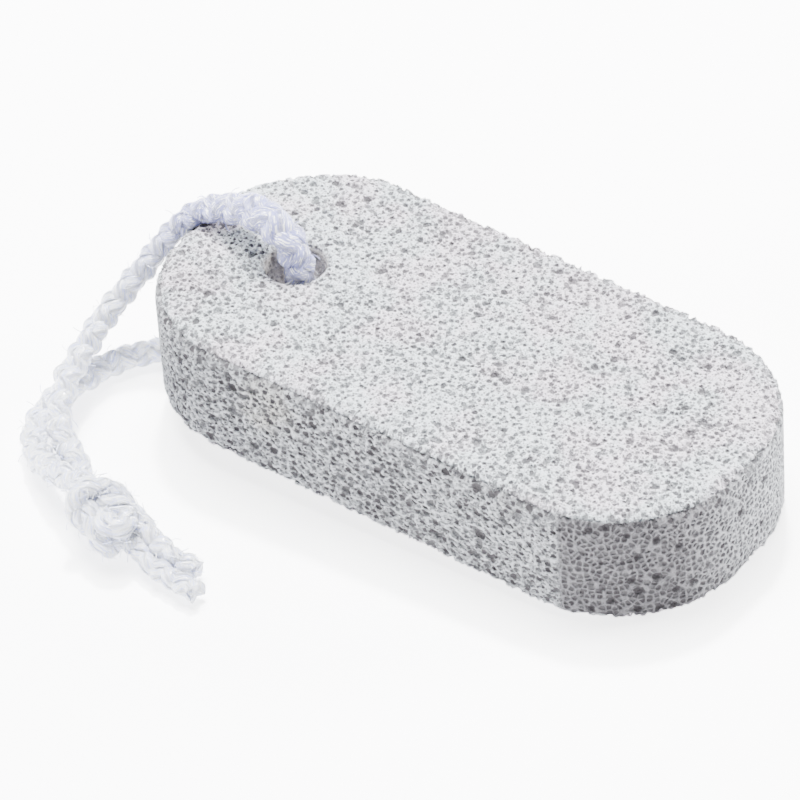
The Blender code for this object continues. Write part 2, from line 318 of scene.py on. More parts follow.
def looseFilaments(tree, strands, keep, fuzz, settings):
    # short bent threads that stand off the cord, more of them at its two cut ends and its knot
    start, middle, end = settings["filament"]
    stem = addNode(tree, "GeometryNodeCurveQuadraticBezier", {
        "Resolution": 4, "Start": start, "Middle": middle, "End": end})
    profile = addNode(tree, "GeometryNodeCurvePrimitiveCircle", {
        "Resolution": 3, "Radius": settings["filamentRadius"]}, mode="RADIUS")
    thread = addNode(tree, "GeometryNodeCurveToMesh", {
        "Curve": stem.outputs[0], "Profile Curve": profile.outputs[0], "Fill Caps": True})

    here = addNode(tree, "GeometryNodeInputPosition").outputs[0]
    normal = addNode(tree, "GeometryNodeInputNormal").outputs[0]
    outer = vectorMaths(tree, "DOT_PRODUCT", normal, keep.outputs["outward"])
    chosen = product(tree, maths(tree, "GREATER_THAN", outer, settings["filamentFacing"]),
                     maths(tree, "GREATER_THAN", splitVector(tree, here)[2], settings["filamentFloor"]))
    share = keep.outputs["share"]
    more = maths(tree, "MAXIMUM", remap(tree, share, 0.0, settings["frayed"], 1.0, 0.0),
                 remap(tree, share, 1.0 - settings["frayed"], 1.0))
    fromKnot = vectorMaths(tree, "DISTANCE", here, settings["knotAt"])
    atKnot = remap(tree, fromKnot, *settings["knotReach"], settings["knotShare"], 0.0)
    more = maths(tree, "MAXIMUM", more, atKnot)
    density = product(tree, fuzz, maths(tree, "MULTIPLY_ADD", more, settings["fuzzMore"], 1.0))
    spots = addNode(tree, "GeometryNodeDistributePointsOnFaces", {
        "Mesh": strands, "Selection": chosen, "Density": density, "Seed": 4}, distribute_method="RANDOM")
    lean = settings["filamentLean"]
    spin = addNode(tree, "FunctionNodeRandomValue", {"Seed": 5}, data_type="FLOAT_VECTOR")
    spin.inputs[0].default_value = (-lean, -lean, 0.0)
    spin.inputs[1].default_value = (lean, lean, math.tau)
    turned = addNode(tree, "FunctionNodeRotateRotation", rotation_space="LOCAL")
    feed(tree, turned.inputs[0], spots.outputs["Rotation"])
    feed(tree, turned.inputs[1], spin.outputs[0])
    size = addNode(tree, "FunctionNodeRandomValue", {"Seed": 6}, data_type="FLOAT")
    size.inputs[2].default_value, size.inputs[3].default_value = settings["filamentScale"]
    spread = addNode(tree, "GeometryNodeInstanceOnPoints", {
        "Points": spots.outputs["Points"], "Instance": thread.outputs[0],
        "Rotation": turned.outputs[0], "Scale": size.outputs[1]})
    return spread.outputs[0]


def strandPath(tree, strand, along, given, settings):
    # a strand's distance from the middle of the cord, its angle round it and how full it is
    perWay = maths(tree, "DIVIDE", given.outputs["Strands"], 2.0)
    way = maths(tree, "MULTIPLY_ADD", maths(tree, "MODULO", strand, 2.0), 2.0, -1.0)
    pair = maths(tree, "FLOOR", maths(tree, "DIVIDE", strand, 2.0))
    phase = maths(tree, "DIVIDE", product(tree, pair, math.tau), perWay)
    turned = maths(tree, "DIVIDE", product(tree, along, math.tau), given.outputs["Pitch"])
    angle = maths(tree, "MULTIPLY_ADD", turned, way, phase)
    weave = product(tree, maths(tree, "COSINE", product(tree, turned, perWay)), way)
    inner = maths(tree, "SUBTRACT", given.outputs["Radius"], given.outputs["Weave Depth"])
    inner = maths(tree, "MULTIPLY_ADD", given.outputs["Strand Thickness"], -0.5, inner)
    reach = maths(tree, "MULTIPLY_ADD", weave, given.outputs["Weave Depth"], inner)
    # every strand strays a little from its even path, each in its own way
    spot = joinVector(tree, product(tree, along, settings["strayPace"]),
                      product(tree, strand, settings["strayApart"]))
    stray = maths(tree, "SUBTRACT", noise(tree, spot, 1.0, detail=2.0), 0.5)
    reach = maths(tree, "MULTIPLY_ADD", stray, given.outputs["Stray"], reach)
    angle = maths(tree, "MULTIPLY_ADD", stray, settings["strayTurn"], angle)
    return reach, angle, maths(tree, "MULTIPLY_ADD", stray, settings["strayWidth"], 1.0)


def strandSection(tree, given, settings):
    # a flat oval with a ridge for each yarn, and the place round it kept for the fibres
    section = addNode(tree, "GeometryNodeCurvePrimitiveCircle", {
        "Resolution": 4 * settings["yarns"], "Radius": 0.5}, mode="RADIUS")
    factor = addNode(tree, "GeometryNodeSplineParameter").outputs["Factor"]
    turn = product(tree, factor, math.tau * settings["yarns"])
    swollen = maths(tree, "MULTIPLY_ADD", maths(tree, "COSINE", turn), given.outputs["Ridge"], 1.0)
    here = addNode(tree, "GeometryNodeInputPosition").outputs[0]
    ridged = addNode(tree, "GeometryNodeSetPosition", {
        "Geometry": section.outputs["Curve"],
        "Position": vectorMaths(tree, "SCALE", here, scale=swollen)})
    stretch = joinVector(tree, given.outputs["Strand Thickness"], given.outputs["Strand Width"], 1.0)
    oval = addNode(tree, "GeometryNodeTransform", {"Geometry": ridged.outputs[0], "Scale": stretch})
    return storeNumber(tree, oval.outputs[0], "fibreAcross", factor)


def braidTree(material, settings):
    numbers = ("Pitch", "Radius", "Strand Width", "Strand Thickness", "Weave Depth", "Step", "Ridge",
               "Stray", "Fuzz")
    sizes = [("Strands", "NodeSocketInt")] + [(name, "NodeSocketFloat") for name in numbers]
    tree, given, result = newGeometryTree("braid along the route", sizes)
    smooth = addNode(tree, "GeometryNodeCurveSplineType", {"Curve": given.outputs["Geometry"]},
                     spline_type="CATMULL_ROM")
    finer = addNode(tree, "GeometryNodeSetSplineResolution", {
        "Geometry": smooth.outputs[0], "Resolution": 12})
    even = addNode(tree, "GeometryNodeResampleCurve", {
        "Curve": finer.outputs[0], "Length": given.outputs["Step"]}, mode="LENGTH")

    # one copy of the route for each strand
    copies = addNode(tree, "GeometryNodeDuplicateElements", {
        "Geometry": even.outputs[0], "Amount": given.outputs["Strands"]}, domain="SPLINE")
    held = addNode(tree, "GeometryNodeCaptureAttribute", {"Geometry": copies.outputs["Geometry"]},
                   domain="CURVE")
    held.capture_items.new("INT", "strand")
    feed(tree, held.inputs["strand"], copies.outputs["Duplicate Index"])
    strand = held.outputs["strand"]

    # each copy is moved out to its strand's place
    spline = addNode(tree, "GeometryNodeSplineParameter")
    tangent = addNode(tree, "GeometryNodeInputTangent").outputs[0]
    normal = addNode(tree, "GeometryNodeInputNormal").outputs[0]
    side = vectorMaths(tree, "CROSS_PRODUCT", tangent, normal)
    swell = addNode(tree, "GeometryNodeInputRadius").outputs[0]
    reach, angle, fuller = strandPath(tree, strand, spline.outputs["Length"], given, settings)
    outward = vectorMaths(tree, "ADD",
                          vectorMaths(tree, "SCALE", normal, scale=maths(tree, "COSINE", angle)),
                          vectorMaths(tree, "SCALE", side, scale=maths(tree, "SINE", angle)))
    offset = vectorMaths(tree, "SCALE", outward, scale=product(tree, reach, swell))
    keep = addNode(tree, "GeometryNodeCaptureAttribute", {"Geometry": held.outputs["Geometry"]},
                   domain="POINT")
    for kind, name, value in (("VECTOR", "outward", outward), ("VECTOR", "offset", offset),
                              ("FLOAT", "swell", product(tree, swell, fuller)),
                              ("FLOAT", "share", spline.outputs["Factor"])):
        keep.capture_items.new(kind, name)
        feed(tree, keep.inputs[name], value)
    placed = addNode(tree, "GeometryNodeSetPosition", {
        "Geometry": keep.outputs["Geometry"], "Offset": keep.outputs["offset"]})
    facing = addNode(tree, "GeometryNodeSetCurveNormal", {"Curve": placed.outputs[0]}, mode="FREE")
    feed(tree, facing.inputs["Normal"], keep.outputs["outward"])

    # the strands are swept, with what the material needs stored on them
    strands = storeNumber(tree, facing.outputs[0], "fibreAlong", spline.outputs["Length"])
    strands = storeNumber(tree, strands, "strandNumber", strand)
    sized = addNode(tree, "GeometryNodeSetCurveRadius", {
        "Curve": strands, "Radius": keep.outputs["swell"]})
    swept = addNode(tree, "GeometryNodeCurveToMesh", {
        "Curve": sized.outputs[0], "Profile Curve": strandSection(tree, given, settings),
        "Scale": keep.outputs["swell"], "Fill Caps": True})
    loose = looseFilaments(tree, swept.outputs[0], keep, given.outputs["Fuzz"], settings)
    joined = addNode(tree, "GeometryNodeJoinGeometry")
    tree.links.new(loose, joined.inputs[0])
    tree.links.new(swept.outputs[0], joined.inputs[0])
    endTree(tree, joined.outputs[0], material, result)
    return tree


def braidMaterial(settings):
    material, tree, shader = newMaterial("white braid")
    across, along, strand = (addNode(tree, "ShaderNodeAttribute", attribute_name=name).outputs["Fac"]
                             for name in ("fibreAcross", "fibreAlong", "strandNumber"))
    place = joinVector(tree, product(tree, across, settings["fibresAcross"]),
                       product(tree, along, settings["fibresAlong"]),
                       product(tree, strand, settings["fibresApart"]))
    fibres = noise(tree, place, 1.0, detail=4.0, roughness=0.75, distortion=0.6)
    # the filaments' glints are painted in as white, with a bluish painted shade between them
    tint = remap(tree, fibres, *settings["tintAt"], smooth=True)
    colour = blend(tree, tint, settings["shade"], settings["colour"])
    # a painted shade darkens the stretch over the stone
    height = splitVector(tree, addNode(tree, "ShaderNodeTexCoord").outputs["Object"])[2]
    high = remap(tree, height, *settings["paintedShadeOverStoneFrom"])
    share = product(tree, high, settings["paintedShadeOverStoneShare"])
    colour = blend(tree, share, colour, settings["paintedShadeOverStone"])
    glints = fadedBy(tree, remap(tree, fibres, *settings["glintAt"]), high, settings["paintedShadeOverStoneShare"])
    colour = blend(tree, glints, colour, settings["glint"])
    # small painted sparks on the stretch over the stone
    finer = vectorMaths(tree, "SCALE", place, scale=settings["sparkFineness"])
    sparks = remap(tree, noise(tree, finer, 1.0, detail=1.0), *settings["sparkAt"])
    feed(tree, shader.inputs["Base Color"],
         blend(tree, product(tree, sparks, high), colour, settings["glint"]))
    bump = addNode(tree, "ShaderNodeBump", {
        "Strength": 1.0, "Distance": settings["fibreRelief"], "Height": fibres})
    feed(tree, shader.inputs["Normal"], bump.outputs[0])
    roughness = remap(tree, fibres, *settings["roughAt"], *settings["roughness"])
    feed(tree, shader.inputs["Roughness"], roughness)
    shader.inputs["Sheen Weight"].default_value = settings["sheen"]
    shader.inputs["Sheen Roughness"].default_value = 0.4
    shader.inputs["Specular IOR Level"].default_value = settings["specular"]
    shader.inputs["Coat Weight"].default_value = settings["coat"]
    shader.inputs["Coat Roughness"].default_value = 0.18
    return material


def makeCord(settings):
    material = braidMaterial(settings)
    route = routeCurve()
    mesh = grownMesh(route, braidTree(material, settings), {
        "Strands": settings["strands"], "Pitch": settings["pitch"],
        "Radius": settings["diameter"] / 2, "Strand Width": settings["strandWidth"],
        "Strand Thickness": settings["strandThickness"], "Weave Depth": settings["weaveDepth"],
        "Step": settings["step"], "Ridge": settings["ridge"], "Stray": settings["stray"],
        "Fuzz": settings["fuzz"]})
    bpy.data.objects.remove(route)
    mesh.shade_smooth()
    cord = newObject("braided_cord", mesh)
    print("cord:", len(mesh.polygons), "faces")
    return cord


braidedCord = makeCord(cordSettings)
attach(braidedCord, "root")
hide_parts("cord")


stoneSettings = {
    "length": 0.0954,
    "width": 0.0445,
    "thickness": 0.0183,
    "cornerRadius": 0.0196,
    "flatCorner": 0.0009,     # how much flatter the far corner of the holed end is
    "rimRounding": 0.0010,
    "lean": 2.9,              # degrees; the holed end rests on the cord
    "holeAt": -0.0297,
    "holeRadius": 0.0044,
    "holeSides": 64,
    "holeMargin": 0.0008,     # what lies so near the hole's wall belongs to it
    "voxel": 0.00018,
    "triangles": 196000,
    "wallStretch": 1.35,      # how far the bubbles of the sawn walls are drawn out
    "netStarts": 0.0318,      # past this, towards the plain end, the wall is an open net
    "netBlend": 0.0004,
    "wallFacing": (0.75, 0.45),  # upward facing between which a face turns into the wall
    "wander": 1.1,            # how far that line wanders, as a share of the facing
    "wanderScale": 1000.0,    # scales are waves for each metre
    "grain": 0.00014,         # height of the fine roughness
    "grainScale": 2400.0,
    "crumble": 0.0009,        # depth of the chips along the rims
    "crumbleReach": 0.0015,   # and how far from a rim they reach
    "crumbleScale": 640.0,
    "crumbleAt": (0.42, 0.66),  # parts of the noise that crumble
    "wear": 0.0009,           # how far the top rim is worn down
    "wearReach": 0.0024,
    "wearHeight": (0.010, 0.013),   # the wear sets in between these heights,
    "wearAlong": (0.022, -0.030),   # grows from the plain end to the holed one,
    "wearLeast": 0.25,              # with this share of it at the plain end,
    "wearAcross": (0.008, -0.002),  # and grows from the back to the front
}

# round open bubbles: cell size in metres, share of cells that hold one, least and largest radius
# in cells, how dark the painted shade on their floors is, how deep they are for their radius, a
# shift of the cells in metres, and how much of the bubbles is lost where the net takes over
bubbleLayers = (
    {"cell": 0.0029, "share": 0.50, "least": 0.13, "largest": 0.24, "dark": 0.90, "deep": 1.0,
     "shift": 0.003, "lost": 0.0},
    {"cell": 0.00108, "share": 0.96, "least": 0.21, "largest": 0.39, "dark": 0.90, "deep": 1.1,
     "shift": 0.037, "lost": 0.92},
    {"cell": 0.00060, "share": 0.92, "least": 0.17, "largest": 0.37, "dark": 0.80, "deep": 1.0,
     "shift": 0.071, "lost": 0.92},
)

# the net of touching bubbles on the walls; widths and distances are in cells
netSettings = {
    "cell": 0.00096,
    "shift": 0.053,
    "wall": 0.035,           # half the width of what parts two bubbles
    "wallElsewhere": 0.10,   # added away from the plain end,
    "wallInPatches": 0.07,   # in the closed patches
    "wallByChance": 0.05,    # and by chance
    "edge": 0.07,
    "rounded": (0.42, 0.58),  # distances from a bubble's middle between which its corners fill
    "palest": 0.45,          # painted shade of the palest bubbles, and of those away from the plain end
    "depth": 0.00026,
}

# what changes the bubbles from place to place
poreSettings = {
    "topShift": 0.2,         # moves the top's cells, or they would be those of the underside
    "wobbleScale": 1400.0,
    "wobble": 0.00022,       # how far it bends the bubbles of a face,
    "wallWobble": 0.00010,   # of the wall
    "netWobble": 0.00008,    # and of the net
    "patchScale": 120.0,
    "patchAt": (0.36, 0.62),    # parts of the patches' noise that are closed and open
    "patchSize": (0.80, 1.08),  # size of the bubbles in closed and in open patches
    "size": 1.06,
    "wallSize": 0.10,        # added on the wall
    "rimSize": 0.30,         # and at the rims, within this width
    "rimWidth": 0.0022,
    "edge": (0.03, 0.36),    # parts of a bubble's bowl between which the painted shade on its floor sets in
    "palest": 0.60,
    "wallDark": 0.22,        # the painted shade is so much darker on the wall
    "boreWall": 0.85,        # how much the hole's own wall counts as a face
    "boreDark": 0.65,        # how much of the painted shade the drill took off there
    "boreEdge": (0.0002, 0.0012),  # depths below the top between which the bore begins
    "brokenScale": 900.0,
    "brokenMore": 0.02,            # lifts that noise towards the rim
    "brokenAt": (0.55, 0.61),      # parts of the noise that break the upper rim
    "brokenRim": (0.05, 0.45),     # nearness to the rim between which they set in
    "brokenDark": (0.40, 0.72),    # painted shade in them, on the face and on the wall
    "brokenDepth": 0.0006,
}


def cellNodes(tree, place, layer, feature="F1"):
    shifted = vectorMaths(tree, "ADD", place, (layer["shift"],) * 3)
    return addNode(tree, "ShaderNodeTexVoronoi", {
        "Vector": shifted, "Scale": 1.0 / layer["cell"], "Randomness": 0.9},
        voronoi_dimensions="2D", feature=feature)


def bubbleNodes(tree, place, layer, grow):
    # from 0 at a bubble's edge to 1 at its middle, and the bubble's radius in metres
    cells = cellNodes(tree, place, layer)
    sizeChance, shadeChance, presence = splitVector(tree, cells.outputs["Color"])
    spread = layer["largest"] - layer["least"]
    radius = maths(tree, "MULTIPLY_ADD", sizeChance, spread, layer["least"])
    radius = product(tree, radius, grow)
    held = maths(tree, "LESS_THAN", presence, layer["share"])
    near = maths(tree, "DIVIDE", cells.outputs["Distance"], radius)
    inside = maths(tree, "SUBTRACT", 1.0, maths(tree, "MULTIPLY", near, near), clamp=True)
    inside = product(tree, inside, held)
    return inside, product(tree, radius, layer["cell"]), shadeChance


def wallLength(tree, x, y, settings):
    # the distance along the outline, from the middle of the front, for a point on the wall
    straight = settings["length"] / 2 - settings["cornerRadius"]
    flat = settings["width"] / 2 - settings["cornerRadius"]
    quarter = settings["cornerRadius"] * math.pi / 2
    far = maths(tree, "ABSOLUTE", x)
    reach = maths(tree, "MINIMUM", far, straight)
    past = beyond(tree, far, straight)
    firstTurn = maths(tree, "ARCTAN2", past, beyond(tree, product(tree, y, -1.0), flat))
    lastTurn = maths(tree, "ARCTAN2", beyond(tree, y, flat), past)
    across = remap(tree, y, -flat, flat, 0.0, 2 * flat)
    turns = product(tree, maths(tree, "ADD", firstTurn, lastTurn), settings["cornerRadius"])
    backward = product(tree, maths(tree, "SUBTRACT", straight, reach), 2.0)
    backward = maths(tree, "MULTIPLY_ADD", maths(tree, "LESS_THAN", far, straight), quarter, backward)
    backward = product(tree, backward, maths(tree, "GREATER_THAN", y, 0.0))
    total = maths(tree, "ADD", maths(tree, "ADD", reach, turns), maths(tree, "ADD", across, backward))
    return product(tree, total, maths(tree, "SIGN", x))


def hypotenuse(tree, first, second):
    squares = maths(tree, "MULTIPLY_ADD", first, first, product(tree, second, second))
    return maths(tree, "SQRT", squares)


def unrolled(tree, place, wall, settings):
    # the surface laid flat: the faces as they are, the wall and the hole along their outlines
    x, y, z = splitVector(tree, place)
    fromHole = maths(tree, "SUBTRACT", x, settings["holeAt"])
    roundHole = product(tree, maths(tree, "ARCTAN2", y, fromHole), settings["holeRadius"])
    inHole = maths(tree, "LESS_THAN", hypotenuse(tree, fromHole, y),
                   settings["holeRadius"] + settings["holeMargin"])
    # the long walls were sawn, which drew their bubbles out along the cut
    along = wallLength(tree, x, y, settings)
    sawn = product(tree, along, 1.0 / settings["wallStretch"])
    along = blend(tree, maths(tree, "GREATER_THAN", x, settings["netStarts"]), sawn, along, "FLOAT")
    onWall = joinVector(tree, blend(tree, inHole, along, roundHole, "FLOAT"), z)
    upper = maths(tree, "GREATER_THAN", z, settings["thickness"] / 2)
    onFace = joinVector(tree, x, maths(tree, "MULTIPLY_ADD", upper, poreSettings["topShift"], y))
    flat = blend(tree, maths(tree, "GREATER_THAN", wall, 0.5), onFace, onWall, "VECTOR")
    return flat, x, y, z, inHole


def rimDistance(tree, x, y, z, settings):
    # how far a point of the surface is from the nearer rim, over the face or down the wall
    straight = settings["length"] / 2 - settings["cornerRadius"]
    flat = settings["width"] / 2 - settings["cornerRadius"]
    half = settings["thickness"] / 2
    pastX = beyond(tree, maths(tree, "ABSOLUTE", x), straight)
    pastY = beyond(tree, maths(tree, "ABSOLUTE", y), flat)
    inward = maths(tree, "SUBTRACT", settings["cornerRadius"], hypotenuse(tree, pastX, pastY))
    down = maths(tree, "SUBTRACT", half, maths(tree, "ABSOLUTE", maths(tree, "SUBTRACT", z, half)))
    return hypotenuse(tree, inward, down)


def openBubbles(tree, flat, wall, netted, grow):
    # the round bubbles of every size: how dark their painted shade is and how deep they are
    pore = poreSettings
    dark, depth = 0.0, 0.0
    for layer in bubbleLayers:
        inside, radius, chance = bubbleNodes(tree, flat, layer, grow)
        shade = product(tree, remap(tree, inside, *pore["edge"], smooth=True), layer["dark"])
        shade = product(tree, shade, remap(tree, chance, 0.0, 1.0, pore["palest"], 1.0))
        onWall = maths(tree, "MULTIPLY_ADD", wall, pore["wallDark"], 1.0)
        shade = maths(tree, "MULTIPLY", shade, onWall, clamp=True)
        cut = product(tree, maths(tree, "SQRT", inside), radius, layer["deep"])
        if layer["lost"]:
            shade = fadedBy(tree, shade, netted, layer["lost"])
            cut = fadedBy(tree, cut, netted, layer["lost"])
        dark = maths(tree, "MAXIMUM", dark, shade)
        depth = maths(tree, "MAXIMUM", depth, cut)
    return dark, depth


def bubbleNet(tree, even, wall, end, patches):
    # the net of touching bubbles covers the plain end and, fainter, the rest of the wall
    net = netSettings
    edges = cellNodes(tree, even, net, "DISTANCE_TO_EDGE").outputs["Distance"]
    middles = cellNodes(tree, even, net)
    chance = splitVector(tree, middles.outputs["Color"])
    away = maths(tree, "SUBTRACT", 1.0, end)
    thick = maths(tree, "MULTIPLY_ADD", away, net["wallElsewhere"], net["wall"])
    closed = remap(tree, patches, *poreSettings["patchAt"], net["wallInPatches"], 0.0)
    thick = maths(tree, "ADD", closed, thick)
    thick = maths(tree, "MULTIPLY_ADD", chance[2], net["wallByChance"], thick)
    hollow = remap(tree, edges, thick, maths(tree, "ADD", thick, net["edge"]), smooth=True)
    rounding = remap(tree, middles.outputs["Distance"], *net["rounded"], 1.0, 0.0)
    hollow = product(tree, hollow, rounding, wall)
    shade = product(tree, remap(tree, chance[1], 0.0, 1.0, net["palest"], 1.0),
                    remap(tree, end, 0.0, 1.0, net["palest"], 1.0), hollow)
    return shade, product(tree, hollow, net["depth"])


def poreNodes(tree, place, wall, settings):
    # the stone's open bubbles as a painted shade from 0 to 1 and a depth in metres; geometry and
    # material read the same cells, so the painted shade sits in the cut pits
    pore = poreSettings
    wobble = addNode(tree, "ShaderNodeTexNoise", {
        "Vector": place, "Scale": pore["wobbleScale"], "Detail": 1.0})
    bend = vectorMaths(tree, "SUBTRACT", wobble.outputs["Color"], (0.5, 0.5, 0.5))
    flat, x, y, z, inHole = unrolled(tree, place, wall, settings)
    wall = fadedBy(tree, wall, inHole, pore["boreWall"])
    even = vectorMaths(tree, "ADD", flat, vectorMaths(tree, "SCALE", bend, scale=pore["netWobble"]))
    warp = maths(tree, "MULTIPLY_ADD", wall, pore["wallWobble"] - pore["wobble"], pore["wobble"])
    flat = vectorMaths(tree, "ADD", flat, vectorMaths(tree, "SCALE", bend, scale=warp))
    end = remap(tree, x, settings["netStarts"] - settings["netBlend"],
                settings["netStarts"] + settings["netBlend"])
    netted = product(tree, wall, end)
    patches = noise(tree, place, pore["patchScale"], detail=2.0)
    # the rims of the top and of the underside are more open than the faces
    rim = remap(tree, rimDistance(tree, x, y, z, settings), 0.0, pore["rimWidth"], 1.0, 0.0)
    grow = product(tree, maths(tree, "MULTIPLY_ADD", wall, pore["wallSize"], pore["size"]),
                   remap(tree, patches, *pore["patchAt"], *pore["patchSize"]))
    grow = maths(tree, "MULTIPLY_ADD", rim, pore["rimSize"], grow)
    dark, depth = openBubbles(tree, flat, wall, netted, grow)
    netShade, netDepth = bubbleNet(tree, even, wall, end, patches)
    dark = maths(tree, "MAXIMUM", dark, netShade)
    depth = maths(tree, "MAXIMUM", depth, netDepth)
    # broken cells bite into the upper rim from both sides, with painted shade in them
    broken = maths(tree, "MULTIPLY_ADD", rim, pore["brokenMore"],
                   noise(tree, place, pore["brokenScale"], detail=2.0))
    broken = product(tree, remap(tree, broken, *pore["brokenAt"]), remap(tree, rim, *pore["brokenRim"]),
                     maths(tree, "GREATER_THAN", z, settings["thickness"] / 2))
    brokenShade = product(tree, broken, remap(tree, wall, 0.0, 1.0, *pore["brokenDark"]))
    dark = maths(tree, "MAXIMUM", dark, brokenShade)
    depth = maths(tree, "MAXIMUM", depth, product(tree, broken, pore["brokenDepth"]))
    # the drill left the hole's wall smoother
    bore = remap(tree, z, *(settings["thickness"] - below for below in pore["boreEdge"]))
    drilled = product(tree, inHole, bore)
    dark = fadedBy(tree, dark, drilled, pore["boreDark"])
    return {"dark": dark, "depth": depth, "netted": netted, "drilled": drilled, "x": x, "y": y, "z": z}


def roundedOutline(settings, perCorner=24):
    halfLength = settings["length"] / 2 - settings["cornerRadius"]
    halfWidth = settings["width"] / 2 - settings["cornerRadius"]
    points = []
    for quarter, (sx, sy) in enumerate(((1, 1), (-1, 1), (-1, -1), (1, -1))):
        for step in range(perCorner + 1):
            angle = (quarter + step / perCorner) * math.pi / 2
            # the far corner of the holed end was ground a little flatter than the others
            flatter = settings["flatCorner"] * math.sin(2 * angle) ** 2 if quarter == 1 else 0.0
            points.append((sx * halfLength + (settings["cornerRadius"] - flatter) * math.cos(angle),
                           sy * halfWidth + (settings["cornerRadius"] - flatter) * math.sin(angle)))
    return points


def stoneBlank(settings):
    # the sawn block with its hole, before any bubble is opened
    bm = bmesh.new()
    outline = roundedOutline(settings)
    turns = [step * math.tau / settings["holeSides"] for step in range(settings["holeSides"])]
    hole = [(settings["holeAt"] + settings["holeRadius"] * math.cos(turn),
             settings["holeRadius"] * math.sin(turn)) for turn in turns]
    caps = {}
    for height in (0.0, settings["thickness"]):
        rings = []
        for ring in (outline, hole):
            corners = [bm.verts.new((x, y, height)) for x, y in ring]
            edges = [bm.edges.new((a, b)) for a, b in zip(corners, corners[1:] + corners[:1])]
            rings.append((corners, edges))
        caps[height] = rings
        bmesh.ops.triangle_fill(bm, use_beauty=True, edges=rings[0][1] + rings[1][1])
    for low, high in zip(caps[0.0], caps[settings["thickness"]]):
        count = len(low[0])
        for step in range(count):
            bm.faces.new((low[0][step], low[0][(step + 1) % count],
                          high[0][(step + 1) % count], high[0][step]))
    bmesh.ops.recalc_face_normals(bm, faces=bm.faces)
    rims = [edge for edge in bm.edges if edge.calc_face_angle(0.0) > math.radians(60)]
    bmesh.ops.bevel(bm, geom=rims, offset=settings["rimRounding"], segments=3, profile=0.5,
                    affect="EDGES")
    mesh = bpy.data.meshes.new("stone_blank")
    bm.to_mesh(mesh)
    bm.free()
    return mesh


def crumbledRims(tree, place, pores, given, settings):
    # how deep the rims crumble, and how far the top front rim is worn down near the holed end
    near = rimDistance(tree, pores["x"], pores["y"], pores["z"], settings)
    crumbs = noise(tree, place, settings["crumbleScale"], detail=3.0)
    crumbs = remap(tree, crumbs, *settings["crumbleAt"])
    crumbs = product(tree, crumbs, remap(tree, near, 0.0, settings["crumbleReach"], 1.0, 0.0))
    wearAndGrainShade = product(tree, remap(tree, near, 0.0, settings["wearReach"], 1.0, 0.0),
                   remap(tree, pores["z"], *settings["wearHeight"]))
    wearAndGrainShade = product(tree, wearAndGrainShade, wearAndGrainShade,
                   remap(tree, pores["x"], *settings["wearAlong"], settings["wearLeast"], 1.0),
                   remap(tree, pores["y"], *settings["wearAcross"]))
    return product(tree, crumbs, given.outputs["Crumble"]), product(tree, wearAndGrainShade, given.outputs["Wear"])


def poresTree(material, settings):
    sizes = [(name, "NodeSocketFloat") for name in ("Crumble", "Grain", "Wear")]
    tree, given, result = newGeometryTree("open bubbles of the stone", sizes)
    place = addNode(tree, "GeometryNodeInputPosition").outputs[0]
    normal = addNode(tree, "GeometryNodeInputNormal").outputs[0]
    # the line between face and wall wanders over the rounded rim
    wander = maths(tree, "SUBTRACT", noise(tree, place, settings["wanderScale"], detail=2.0), 0.5)
    upright = maths(tree, "ABSOLUTE", splitVector(tree, normal)[2])
    wall = remap(tree, maths(tree, "MULTIPLY_ADD", wander, settings["wander"], upright),
                 *settings["wallFacing"])
    pores = poreNodes(tree, place, wall, settings)
    grain = maths(tree, "SUBTRACT", noise(tree, place, settings["grainScale"], detail=3.0), 0.5)
    grain = product(tree, grain, given.outputs["Grain"])
    depth = maths(tree, "SUBTRACT", pores["depth"], grain)
    crumbs, wearAndGrainShade = crumbledRims(tree, place, pores, given, settings)
    depth = maths(tree, "ADD", wearAndGrainShade, maths(tree, "ADD", crumbs, depth))
    stored = storeNumber(tree, given.outputs["Geometry"], "wall", wall)
    inward = vectorMaths(tree, "SCALE", normal, scale=product(tree, depth, -1.0))
    moved = addNode(tree, "GeometryNodeSetPosition", {"Geometry": stored, "Offset": inward})
    endTree(tree, moved.outputs[0], material, result)
    return tree


def stoneTurn(settings):
    # the stone leans on the lower edge of its plain end
    lean = math.radians(settings["lean"])
    place = (-settings["thickness"] * math.sin(lean) / 2, 0.0, settings["length"] / 2 * math.sin(lean))
    return Matrix.Translation(place) @ Matrix.Rotation(lean, 4, "Y")


# the stone's finish; the pairs named "At" are the parts of a noise that turn one colour into another
pumiceSettings = {
    "topColour": (0.89, 0.95, 1.0, 1.0),
    "topTint": (0.985, 0.92, 1.0, 1.0),
    "tintScale": 95.0,
    "tintShift": (0.3, 0.1, 0.2),
    "tintAt": (0.44, 0.58),
    # the wall's colour: partly its own duller tone, partly painted shade that keeps it darker than the
    # top
    "sideToneAndShade": (0.615, 0.635, 0.67, 1.0),
    "beige": (0.68, 0.65, 0.585, 1.0),
    "cloudScale": 75.0,
    "cloudAt": (0.60, 0.75),
    "cloudShare": 0.6,
    # the open net's colour at the plain end: partly its own tone, partly painted shade
    "netToneAndShade": (0.25, 0.246, 0.262, 1.0),
    "netPales": (-0.012, 0.004),   # places across the stone between which the net turns pale, a painted light on the back part of the plain end
    "netPale": 0.9,
    "drilledColour": (0.46, 0.435, 0.42, 1.0),
    # painted light deep in the bore, where it lies in shade
    "paintedLightDeepInBore": (0.96, 0.92, 0.90, 1.0),
    "drilledHeight": (0.0165, 0.0095),  # heights in the bore between which the painted light deep in it sets in
    # dark colour painted as shade in the open bubbles and in the grain's hollows
    "paintedPitShade": (0.098, 0.093, 0.100, 1.0),
    "grainScale": 2100.0,
    "grainAt": (0.50, 0.66),
    "grainShare": 0.78,
    "grainRelief": 0.0009,
    "lumpScale": 1250.0,
    "lumpRelief": 0.0007,
    "wallLumps": 0.6,     # how much of the lumps is missing on the wall,
    "boreGrain": 0.8,     # of the grain's painted shade in the bore
    "boreRelief": 0.7,    # and of all relief there
    "jointFade": (0.02, 0.40),
    "relief": 1.5,
}


